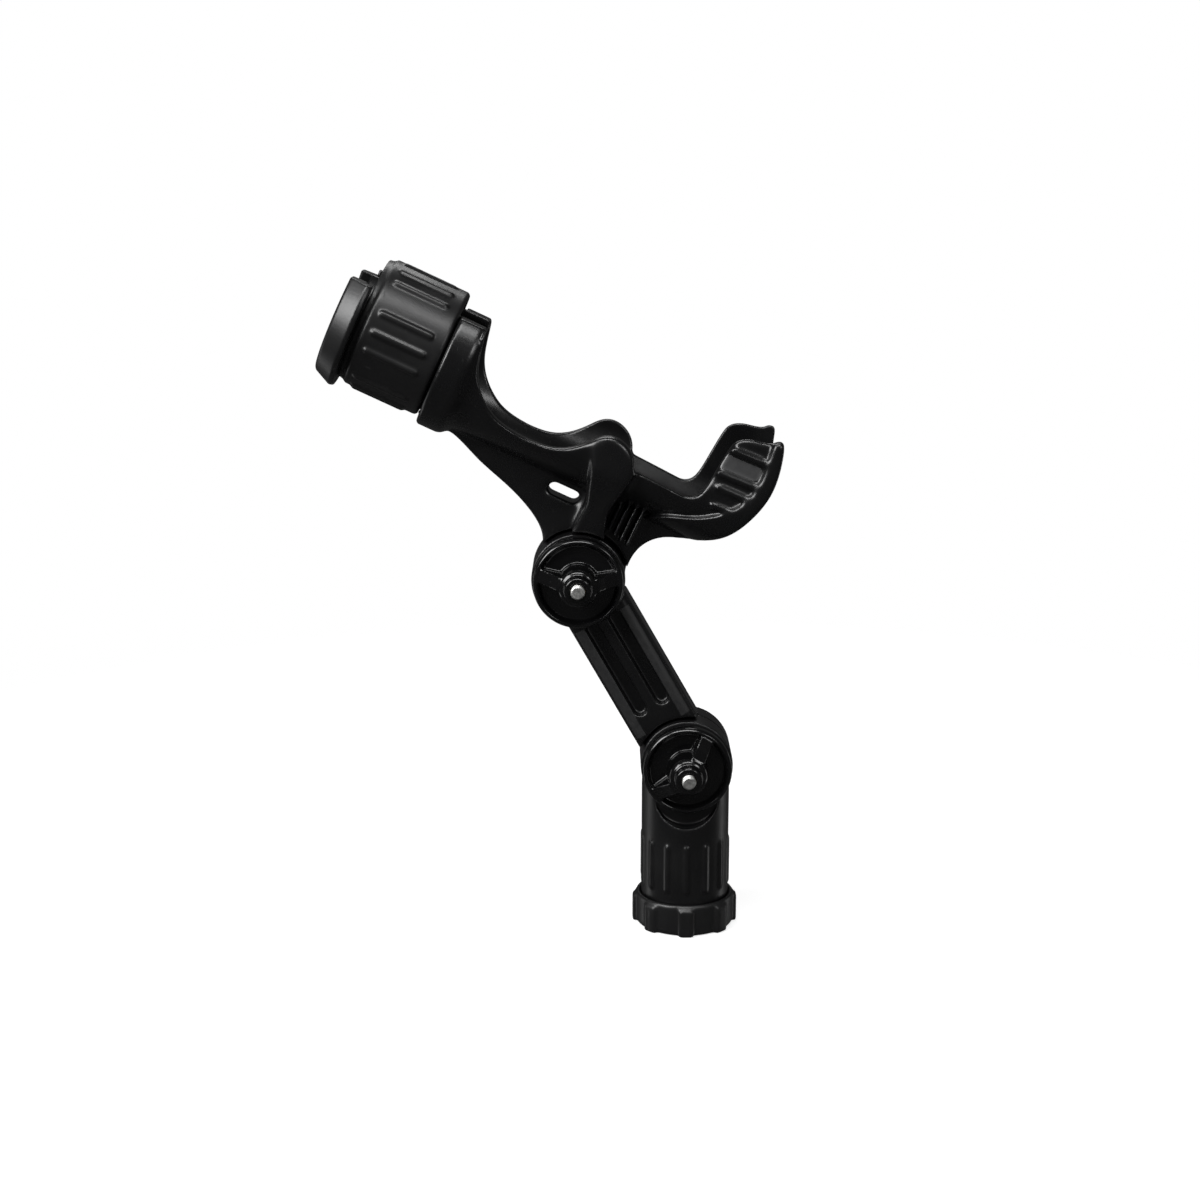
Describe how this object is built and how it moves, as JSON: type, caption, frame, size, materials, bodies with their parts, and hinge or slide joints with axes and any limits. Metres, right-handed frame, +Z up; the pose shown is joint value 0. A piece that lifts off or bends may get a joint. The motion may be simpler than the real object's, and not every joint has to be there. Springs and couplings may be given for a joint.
{
  "type": "rod holder",
  "caption": "Adjustable fishing rod holder: trough cradle with a turning lock collar, on a link arm with toothed clamp pivots and a ribbed stem with a captive mounting nut.",
  "frame": {"origin": "centre of the mouth of the stem's socket, level with the nut's lower face", "axes": "+Z up the stem, +X towards the cradle's hook, -Y the side of the clamp knobs"},
  "size_m": [0.2084, 0.0731, 0.3121],
  "materials": {
    "black_plastic": "moulded glass-filled nylon, semi-gloss",
    "grip_plastic": "moulded nylon, semi-gloss, handled edges",
    "steel": "passivated stainless",
    "spring_steel": "bright drawn stainless",
    "brass": "turned",
    "nylon": "natural acetal",
    "rubber": "moulded rubber"
  },
  "bodies": {
    "base": {"base_stem": "black_plastic", "stem_circlip": "spring_steel", "nut_glide_ring": "nylon", "lower_washer": "steel"},
    "nut": {"mount_nut": "grip_plastic"},
    "arm": {"extension_arm": "black_plastic", "lower_bolt": "steel", "upper_washer": "steel"},
    "cradle": {"cradle": "black_plastic", "end_cap": "grip_plastic", "end_cap_screws": "steel", "collar_friction_pads": "rubber", "detent_ball": "steel", "detent_spring": "spring_steel", "upper_bolt": "steel"},
    "collar": {"locking_collar": "grip_plastic"},
    "knob_low": {"lower_knob": "grip_plastic", "lower_knob_insert": "brass"},
    "knob_high": {"upper_knob": "grip_plastic", "upper_knob_insert": "brass"}
  },
  "joints": [
    {"name": "nut_turn", "type": "hinge", "parent": "base", "child": "nut", "pos_m": [0, 0, 0], "axis": [0, 0, 1], "continuous": true},
    {"name": "lower_pivot", "type": "hinge", "parent": "base", "child": "arm", "pos_m": [0, 0, 0.081], "axis": [0, -1, 0], "range_deg": [-99, 40]},
    {"name": "upper_pivot", "type": "hinge", "parent": "arm", "child": "cradle", "pos_m": [-0.05018, 0, 0.16934], "axis": [0, -1, 0], "range_deg": [-25, 110]},
    {"name": "lower_knob_turn", "type": "hinge", "parent": "arm", "child": "knob_low", "pos_m": [0, -0.02, 0.081], "axis": [0, -1, 0], "continuous": true},
    {"name": "upper_knob_turn", "type": "hinge", "parent": "cradle", "child": "knob_high", "pos_m": [-0.05018, -0.02, 0.16934], "axis": [0, -1, 0], "continuous": true},
    {"name": "collar_turn", "type": "hinge", "parent": "cradle", "child": "collar", "pos_m": [-0.12796, 0, 0.27832], "axis": [0.9063, 0, -0.4226], "continuous": true}
  ]
}
